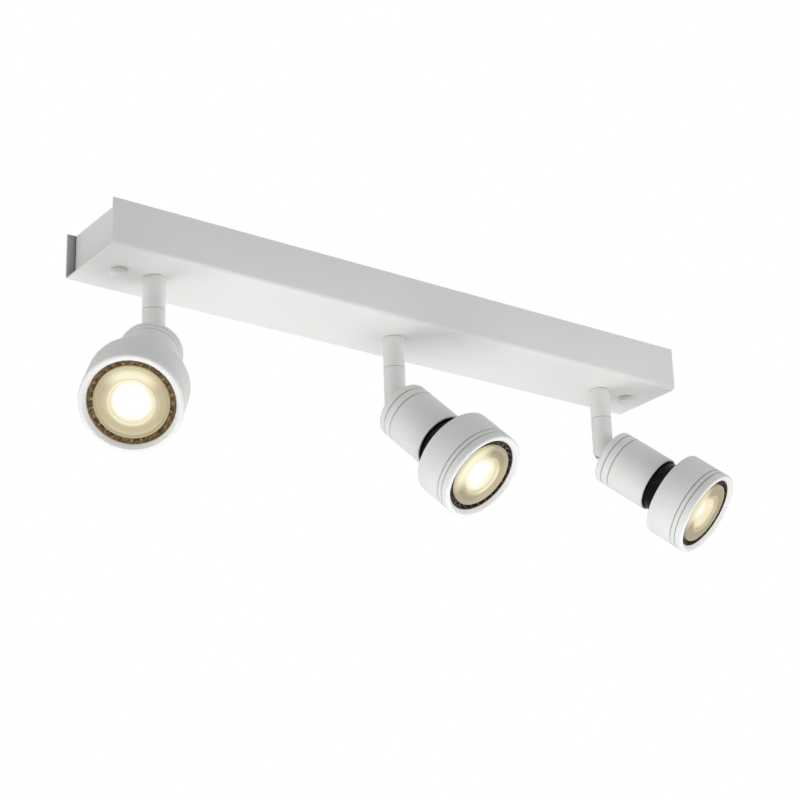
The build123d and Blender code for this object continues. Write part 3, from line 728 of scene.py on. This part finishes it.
def make_bar_shell():
    """Folded channel with rounded bends and softened rims."""
    low, high = BAR_LOW, BAR_HIGH
    rim = 0.25 * MM
    inner = high.y - SHEET
    outline = rounded(
        [
            (low.y, high.z, rim),
            (low.y, low.z, BEND_RADIUS),
            (high.y, low.z, BEND_RADIUS),
            (high.y, high.z, rim),
            (inner, high.z, rim),
            (inner, BAR_FLOOR, BEND_RADIUS - SHEET),
            (low.y + SHEET, BAR_FLOOR, BEND_RADIUS - SHEET),
            (low.y + SHEET, high.z, rim),
        ],
        segments=8,
    )
    bm = bmesh.new()
    add_prism(bm, outline, low.x, high.x)
    bolt_places = [JOINTS[f"pan_{side}"]["pos_m"][0] for side in SIDES]
    cutters = []
    for places, radius in ((bolt_places, BOLT_HOLE_RADIUS), (stud_places(), STUD_HOLE_RADIUS)):
        cutter = bmesh.new()
        for x in places:
            add_rod(cutter, radius, -SHEET, 2 * SHEET, Matrix.Translation((x, 0, low.z)), 48)
        cutters.append(cutter)
    piece = link("bar_shell", carve("bar_shell", bm, cutters, 25.0))
    soften(piece, 0.18 * MM, 40.0)
    slack = 0.01 * MM

    def is_inside(face):
        """Whether a face looks into the channel."""
        within = abs(face.center.y) < inner + slack and face.center.z > BAR_FLOOR - slack
        return within and abs(face.normal.x) < 0.5

    # Faces inside the channel get the grey painted-shade coat.
    finishes = ("white_paint", "inside_painted_shade")
    return dress(piece, "bar", "white_paint", "bar_cover", finishes=finishes, choose=is_inside)


def make_end_panel(side):
    """Recessed end panel with its folded foot."""
    low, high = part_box(f"end_plate_{side}")
    if side == "left":
        outer, inner, foot_end = low.x, low.x + SHEET, high.x
    else:
        outer, inner, foot_end = high.x, high.x - SHEET, low.x
    gap = 0.05 * MM
    edge = 0.2 * MM
    outline = rounded(
        [
            (low.y + gap, high.z, edge),
            (low.y + gap, low.z + gap, BEND_RADIUS - SHEET),
            (high.y - gap, low.z + gap, BEND_RADIUS - SHEET),
            (high.y - gap, high.z, edge),
        ],
        segments=8,
    )
    bm = bmesh.new()
    add_prism(bm, outline, outer, inner)
    start, end = sorted((inner, foot_end))
    half = FOOT_WIDTH / 2
    add_block(bm, (start, -half, low.z + gap), (end, half, low.z + SHEET), bevel=0.15 * MM)
    piece = link(f"end_panel_{side}", mesh_from(f"end_panel_{side}", bm))
    soften(piece, 0.15 * MM)
    return dress(piece, "bar", "white_paint", f"end_plate_{side}")


def add_knurled_nut(bm, x):
    """Adds a low cap nut with a knurled side and a domed face, under the bar, to a bmesh."""
    steps = KNURL_COUNT * 8
    top = BAR_LOW.z - 0.02 * MM
    # Share of the radius, share of the height, and how deep the knurl cuts there.
    levels = [
        (0.74, 0.0, 0.0),
        (0.74, 0.11, 0.0),
        (0.95, 0.115, 0.4),
        (0.99, 0.13, 0.8),
        (1.0, 0.15, 1.0),
        (1.0, 0.60, 1.0),
        (0.995, 0.64, 0.6),
        (0.98, 0.68, 0.0),
        (0.95, 0.745, 0.0),
        (0.90, 0.80, 0.0),
        (0.79, 0.865, 0.0),
        (0.60, 0.925, 0.0),
        (0.36, 0.97, 0.0),
        (0.16, 0.992, 0.0),
    ]
    rings = []
    for share, drop, knurl in levels:
        ring = []
        for i in range(steps):
            angle = 2 * pi * i / steps
            tooth = abs(sin(KNURL_COUNT * angle / 2)) ** 0.7
            r = NUT_RADIUS * share - knurl * KNURL_DEPTH * (1 - tooth)
            ring.append(bm.verts.new((x + r * cos(angle), r * sin(angle), top - NUT_HEIGHT * drop)))
        rings.append(ring)
    tip = bm.verts.new((x, 0, top - NUT_HEIGHT))
    back = bm.verts.new((x, 0, top))
    for i in range(steps):
        j = (i + 1) % steps
        for upper, lower in zip(rings, rings[1:]):
            bm.faces.new((upper[i], upper[j], lower[j], lower[i]))
        bm.faces.new((rings[-1][i], rings[-1][j], tip))
        bm.faces.new((rings[0][j], rings[0][i], back))


def make_cap_nuts():
    """The two knurled nuts that hold the bar to its bracket."""
    bm = bmesh.new()
    for x in stud_places():
        add_knurled_nut(bm, x)
    piece = link("knurled_cap_nuts", mesh_from("knurled_cap_nuts", bm, 50.0))
    return dress(piece, "bar", "white_paint", "cap_nuts")


# ---- Stems and knuckles ----


def make_stem_tube(side):
    """Fixed upper tube, with a fine shadow line at the bar and at the swivel."""
    place = stem_matrix(side).translation
    top, bottom = BAR_LOW.z - 0.05 * MM, JOINT_HEIGHT
    neck = STEM_RADIUS - SEAM_DEPTH
    edge = 0.1 * MM
    outline = rounded(
        [
            (neck, top, 0),
            (STEM_BORE, top, 0),
            (STEM_BORE, bottom, 0),
            (neck, bottom, 0),
            (neck, bottom + JOINT_SEAM, 0),
            (STEM_RADIUS, bottom + JOINT_SEAM, edge),
            (STEM_RADIUS, top - TOP_SEAM, edge),
            (neck, top - TOP_SEAM, 0),
        ]
    )
    bm = lathe(bmesh.new(), outline, 96)
    bmesh.ops.translate(bm, verts=bm.verts, vec=(place.x, place.y, 0))
    piece = link(f"stem_tube_{side}", mesh_from(f"stem_tube_{side}", bm))
    return dress(piece, "bar", "white_paint", f"stem_{side}")


def make_knuckle_shell(side):
    """Turning part of the stem: round end, wire chamber, tongue slot and sunk screw seat."""
    top = JOINT_HEIGHT - BAR_LOW.z - JOINT_GAP
    wall = [(KNUCKLE_BORE, top, 0), (STEM_RADIUS, top, 0.12 * MM), (STEM_RADIUS, -PIVOT_DROP, 0)]
    outline = rounded(wall, closed=False)
    bend = 14
    for i in range(1, bend):
        angle = (pi / 2) * i / bend
        outline.append(Vector((STEM_RADIUS * cos(angle), -PIVOT_DROP - STEM_RADIUS * sin(angle))))
    roof = -PIVOT_DROP + SLOT_REACH
    chamber_floor = roof - 1 * MM
    outline += [
        Vector((0.0, -PIVOT_DROP - STEM_RADIUS)),
        Vector((0.0, chamber_floor)),
        Vector((CHAMBER_RADIUS, chamber_floor)),
        Vector((CHAMBER_RADIUS, -CHAMBER_TOP)),
        Vector((KNUCKLE_BORE, -CHAMBER_TOP)),
    ]
    body = lathe(bmesh.new(), outline, 96)
    outside = 9 * MM
    half = SLOT_WIDTH / 2
    slot = bmesh.new()
    add_block(slot, (-SLOT_REACH, -half, -PIVOT_DROP - outside), (outside, half, roof))
    across = Matrix.Translation((0, 0, -PIVOT_DROP)) @ Matrix.Rotation(-pi / 2, 4, "X")
    seat = bmesh.new()
    add_rod(seat, SCREW_SEAT_RADIUS, SCREW_SEAT_DEPTH, outside, across)
    shank = bmesh.new()
    add_rod(shank, SCREW_HOLE_RADIUS, -6.2 * MM, 6 * MM, across)
    mesh = carve(f"knuckle_shell_{side}", body, [slot, seat, shank], 32.0)
    piece = link(f"knuckle_shell_{side}", mesh)
    piece.matrix_world = stem_matrix(side)
    soften(piece, 0.12 * MM, 45.0)
    return dress(piece, f"swivel_{side}", "white_paint", f"knuckle_{side}")


# ---- Heads ----


def make_lamp_cup(side):
    """Cup with a rounded back, two fine grooves, its tongue and the wire hole."""
    inner = CUP_RADIUS - CUP_WALL
    corners = [
        (0, CUP_BACK, 0),
        (CUP_RADIUS, CUP_BACK, 1.8),
        *grooved(CUP_RADIUS, CUP_GROOVES),
        (CUP_RADIUS, CUP_FRONT, 0.35),
        (inner, CUP_FRONT, 0.3),
        (inner, CUP_FLOOR, 1.2),
        (0, CUP_FLOOR, 0),
    ]
    bm = lathe(bmesh.new(), head_outline(corners), 160)
    half = TONGUE_WIDTH / 2
    reach = TONGUE_REACH * MM
    add_block(bm, (-reach, -half, (-CUP_BACK - 0.6) * MM), (reach, half, 0), bevel=0.2 * MM)
    add_rod(bm, EYE_RADIUS, -half, half, Matrix.Rotation(pi / 2, 4, "X"))
    hole = bmesh.new()
    place = Matrix.Translation((WIRE_HOLE_PLACE * MM, 0, 0))
    add_rod(hole, WIRE_HOLE_RADIUS * MM, (-CUP_FLOOR - 1) * MM, (-CUP_BACK + 1) * MM, place, 48)
    mesh = carve(f"lamp_cup_{side}", bm, [hole], 32.0)
    piece = link(f"lamp_cup_{side}", mesh)
    piece.matrix_world = head_matrix(side)

    def has_groove(face):
        """Whether a face lies in one of the cup's grooves."""
        return in_groove(face, CUP_RADIUS, CUP_GROOVES)

    # Faces in the grooves get the darker coat, as painted shade.
    finishes = ("white_paint", "groove_painted_shade")
    return dress(piece, f"head_{side}", "white_paint", f"cup_{side}", finishes=finishes, choose=has_groove)


def make_ring(side):
    """Wide front ring: rounded front edge, sloping lip, two fine grooves, open back."""
    inner = RING_RADIUS - RING_WALL
    corners = [
        (RING_RADIUS, RING_BACK, 0.35),
        *grooved(RING_RADIUS, RING_GROOVES),
        (RING_RADIUS, RING_FRONT, 1.5),
        (RING_RADIUS - RING_EDGE, RING_FRONT, 0.5),
        (OPENING_RADIUS, OPENING_DEPTH, 0.08),
        (OPENING_RADIUS, OPENING_DEPTH - 0.2, 0),
        (inner, OPENING_DEPTH - 1.6, 0),
        (inner, RING_BACK, 0.35),
    ]
    bm = lathe(bmesh.new(), head_outline(corners, 6), 192)
    piece = link(f"wide_ring_{side}", mesh_from(f"wide_ring_{side}", bm, 30.0))
    piece.matrix_world = head_matrix(side)

    def zone(face):
        """0 for the wall, 1 for the front and the lip, which get a lighter coat as painted light, 2 for the
        grooves, which get a darker coat as painted shade.
        """
        if in_groove(face, RING_RADIUS, RING_GROOVES):
            return 2
        return -face.center.z / MM > RING_FRONT - 0.25 or face.center.xy.length / MM < inner - 1

    # The left ring's grooves are hardly seen, so they get the wall's own coat instead of the grooves' painted
    # shade.
    line_shade = "ring_white" if side == "left" else "groove_painted_shade"
    finishes = ("ring_white", "ring_front_painted_light", line_shade)
    nodes = (f"front_ring_{side}",)
    return dress(piece, f"lamp_{side}", "ring_white", *nodes, finishes=finishes, choose=zone)


def flare(share):
    """Radius and depth of the lamp's flared wall, at a share of its length, in millimetres."""
    radius = FLARE_RADIUS + (LAMP_RADIUS - FLARE_RADIUS) * share * share * (3 - 2 * share)
    return radius, FLARE_BACK + (FLARE_FRONT - FLARE_BACK) * share, 0


def make_lamp_shell(side):
    """Black heat sink: flared outside, with a channel round the lens inside a thin standing rim."""
    channel_low, channel_high = CHANNEL_RADII
    well = LENS_RADIUS + 0.1
    back_floor = LAMP_BACK + LAMP_BACK_WALL
    flare_steps = 20
    corners = [
        (LAMP_MOUTH_RADIUS, LAMP_BACK, 0.2),
        (LAMP_NECK_RADIUS, LAMP_BACK, 0.3),
        *(flare(i / flare_steps) for i in range(flare_steps + 1)),
        (LAMP_RADIUS, CHANNEL_FLOOR, 0),
        (RIM_RADIUS, LAMP_FRONT - 0.6, 0),
        (RIM_RADIUS, RIM_FRONT, 0.15),
        (channel_high, RIM_FRONT, 0.15),
        (channel_high, CHANNEL_FLOOR, 0),
        (channel_low, CHANNEL_FLOOR, 0),
        (channel_low, LAMP_FRONT, 0.1),
        (well, LAMP_FRONT, 0.15),
        (well, LENS_SEAT, 0),
        (well - 1.7, LENS_SEAT, 0),
        (well - 1.7, LENS_SEAT - 3.0, 0),
        (LAMP_BORE_RADIUS, LENS_SEAT - 5.0, 0),
        (LAMP_BORE_RADIUS, back_floor, 0),
        (LAMP_MOUTH_RADIUS, back_floor, 0),
    ]
    bm = lathe(bmesh.new(), head_outline(corners, 3), 168)
    piece = link(f"lamp_shell_{side}", mesh_from(f"lamp_shell_{side}", bm, 30.0))
    piece.matrix_world = head_matrix(side)

    def is_rim(face):
        """Whether a face is part of the channel or the rim."""
        in_front = -face.center.z / MM > CHANNEL_FLOOR - 0.1
        return in_front and face.center.xy.length / MM > LENS_RADIUS + 0.05

    finishes = ("lamp_black", f"rim_{side}")
    nodes = (f"lamp_body_{side}",)
    return dress(piece, f"lamp_{side}", "lamp_black", *nodes, finishes=finishes, choose=is_rim)


def make_lamp_ribs(side):
    """Thin ribs across the channel round the lens and up the inside of its rim."""
    channel_low, channel_high = CHANNEL_RADII
    half = (pi * (channel_low + channel_high) / RIB_COUNT - RIB_GAP) / 2 * MM
    bm = bmesh.new()
    for i in range(RIB_COUNT):
        turn = Matrix.Rotation(2 * pi * (i + 0.5) / RIB_COUNT, 4, "Z")
        low = ((channel_low - 0.1) * MM, -half, -(LAMP_FRONT - 0.1) * MM)
        high = ((channel_high + 0.1) * MM, half, -(CHANNEL_FLOOR - 0.2) * MM)
        add_block(bm, low, high, turn, 0.12 * MM)
        low = ((channel_high - 0.35) * MM, -half, -(RIM_FRONT - 0.1) * MM)
        high = ((channel_high + 0.2) * MM, half, -(LAMP_FRONT - 0.3) * MM)
        add_block(bm, low, high, turn, 0.1 * MM)
    piece = link(f"lamp_ribs_{side}", mesh_from(f"lamp_ribs_{side}", bm, 30.0))
    piece.matrix_world = head_matrix(side)
    return dress(piece, f"lamp_{side}", "lamp_black", finishes=(f"rib_{side}",))


def make_lens(side):
    """Lens: a flat flange with a fine step, a rounded ridge round a recessed dome, and a cone behind."""
    front, back = LENS_FRONT, LENS_FRONT - LENS_THICKNESS
    floor = front - RECESS_DEPTH
    dome_height = 0.6
    dome = []
    for i in range(1, 9):
        lean = radians(10 * i)
        dome.append((RECESS_RADIUS * sin(lean), floor + dome_height * cos(lean), 0))
    # The cone ends near the light source, with a shallow well in its tip.
    tip, well = 75.0, 77.5
    cone = [(12.9, back, 0.2), (9.8, tip + 3.0, 0.3), (6.6, tip, 0.3), (5.4, well, 0.2), (0, well, 0)]
    corners = [
        (0, floor + dome_height, 0),
        *dome,
        (RECESS_RADIUS, floor, 0.2),
        (RIDGE_RADIUS - RIDGE_WIDTH, front + 0.2, 0.25),
        (RIDGE_RADIUS, front + 0.2, 0.3),
        (RIDGE_RADIUS + 0.4, front - 0.15, 0.25),
        (LENS_STEP - 0.2, front - 0.05, 0.1),
        (LENS_STEP, front + 0.05, 0.06),
        (LENS_STEP + 0.2, front - 0.2, 0.05),
        (LENS_STEP + 0.4, front, 0.06),
        (LENS_RADIUS, front, 0.3),
        (LENS_RADIUS, back, 0.1),
        *cone,
    ]
    bm = lathe(bmesh.new(), head_outline(corners, 3), 128)
    piece = link(f"lamp_lit_lens_{side}", mesh_from(f"lamp_lit_lens_{side}", bm, 40.0))
    piece.matrix_world = head_matrix(side) @ Matrix.Rotation(BRIGHT_SIDE[side], 4, "Z")
    return dress(piece, f"lamp_{side}", "lens_plastic", f"lamp_lens_{side}", finishes=(f"lens_{side}",))


# ---- CAD nodes that stay ----


def dress_cad_nodes():
    """Gives every CAD node that still shows the finish of its material slot."""
    slots = {entry["node"]: entry["material_slot"] for entry in frame["record"]["subparts"]}
    for name, node in frame["nodes"].items():
        if node.hide_render:
            continue
        node.data.materials.clear()
        node.data.materials.append(MATERIALS[slots[name]])


# ---- Stage, light and camera ----

CAMERA_PLACE = Vector((-0.72037, -0.98667, -0.54982))
VIEW_AZIMUTH = radians(53.72)
VIEW_RISE = radians(21.26)
VIEW_ROLL = radians(-1.846)
CAMERA_LENS = 90.05
FLOOR_HEIGHT = -1.05
FLOOR_RADIUS = 6.0

# Emission that only the camera sees, which keeps the background pale without lighting the fixture.
FLOOR_GLOW = 0.36
BACKGROUND_GLOW = 1.0
FILL_GLOW = 0.46

# Each softbox's name, place, size and power. All of them point at the middle of the fixture.
LIGHT_TARGET = Vector((0.0, 0.0, -0.06))
SOFTBOXES = (
    ("low_back_left", (-0.5, 0.6, -0.8), 0.7, 2.6),
    ("below", (0.0, -0.22, -0.95), 0.5, 2.55),
    ("below_left", (-0.4, -0.2, -0.85), 0.4, 0.7),
    ("low_right", (0.75, -0.1, -0.85), 0.7, 1.5),
    ("left", (-1.3, 0.0, -0.15), 0.7, 3.1),
    ("right_front", (1.1, -1.0, -0.1), 0.8, 5.8),
)


def make_floor():
    """Plain pale floor well below the fixture."""
    bm = bmesh.new()
    bmesh.ops.create_circle(bm, cap_ends=True, segments=96, radius=FLOOR_RADIUS)
    piece = link("floor", mesh_from("floor", bm))
    piece.location.z = FLOOR_HEIGHT
    shader = Shader("pale_floor")
    tone = shader.tones(shader.noise(3.0, 4.0), (0.86, 0.86, 0.855), (0.89, 0.89, 0.885))
    seen = shader.add("ShaderNodeLightPath").outputs["Is Camera Ray"]
    shader.join(shader.math("MULTIPLY", seen, FLOOR_GLOW), shader.surface.inputs["Emission Strength"])
    shader.set(Roughness=0.8, Emission__Color=(*WHITE, 1.0))
    piece.data.materials.append(shader.finish(tone))


def add_softbox(name, place, size, power):
    """Square area light aimed at the fixture."""
    light = bpy.data.lights.new(name, "AREA")
    light.size = size
    light.energy = power
    lamp = bpy.data.objects.new(name, light)
    bpy.context.scene.collection.objects.link(lamp)
    lamp.location = place
    lamp.rotation_euler = (LIGHT_TARGET - Vector(place)).to_track_quat("-Z", "Y").to_euler()
    lamp.visible_camera = False


def make_world():
    """Even white surroundings: one strength for light, and a brighter one for the camera."""
    world = bpy.data.worlds.new("studio")
    world.use_nodes = True
    bpy.context.scene.world = world
    tree = world.node_tree
    fill = tree.nodes["Background"]
    seen = tree.nodes.new("ShaderNodeBackground")
    for background, strength in ((fill, FILL_GLOW), (seen, BACKGROUND_GLOW)):
        background.inputs["Color"].default_value = (*WHITE, 1.0)
        background.inputs["Strength"].default_value = strength
    path = tree.nodes.new("ShaderNodeLightPath")
    choose = tree.nodes.new("ShaderNodeMixShader")
    tree.links.new(path.outputs["Is Camera Ray"], choose.inputs["Fac"])
    tree.links.new(fill.outputs["Background"], choose.inputs[1])
    tree.links.new(seen.outputs["Background"], choose.inputs[2])
    tree.links.new(choose.outputs["Shader"], tree.nodes["World Output"].inputs["Surface"])


def make_camera():
    """Camera below the bar and to its left, looking up at it."""
    data = bpy.data.cameras.new("camera")
    data.lens = CAMERA_LENS
    data.sensor_width = 36.0
    data.clip_start = 0.01
    camera = bpy.data.objects.new("camera", data)
    bpy.context.scene.collection.objects.link(camera)
    aim = Matrix.Rotation(VIEW_AZIMUTH - pi / 2, 4, "Z") @ Matrix.Rotation(pi / 2 + VIEW_RISE, 4, "X")
    roll = Matrix.Rotation(VIEW_ROLL, 4, "Z")
    camera.matrix_world = Matrix.Translation(CAMERA_PLACE) @ aim @ roll
    bpy.context.scene.camera = camera


make_camera()
make_world()
for softbox in SOFTBOXES:
    add_softbox(*softbox)
make_floor()
make_bar_shell()
make_cap_nuts()
for end in ("left", "right"):
    make_end_panel(end)
for side in SIDES:
    make_stem_tube(side)
    make_knuckle_shell(side)
    make_lamp_cup(side)
    make_lamp_shell(side)
    make_lamp_ribs(side)
    make_lens(side)
    make_ring(side)
dress_cad_nodes()
bpy.context.scene.view_settings.view_transform = "Standard"
bpy.context.view_layer.update()
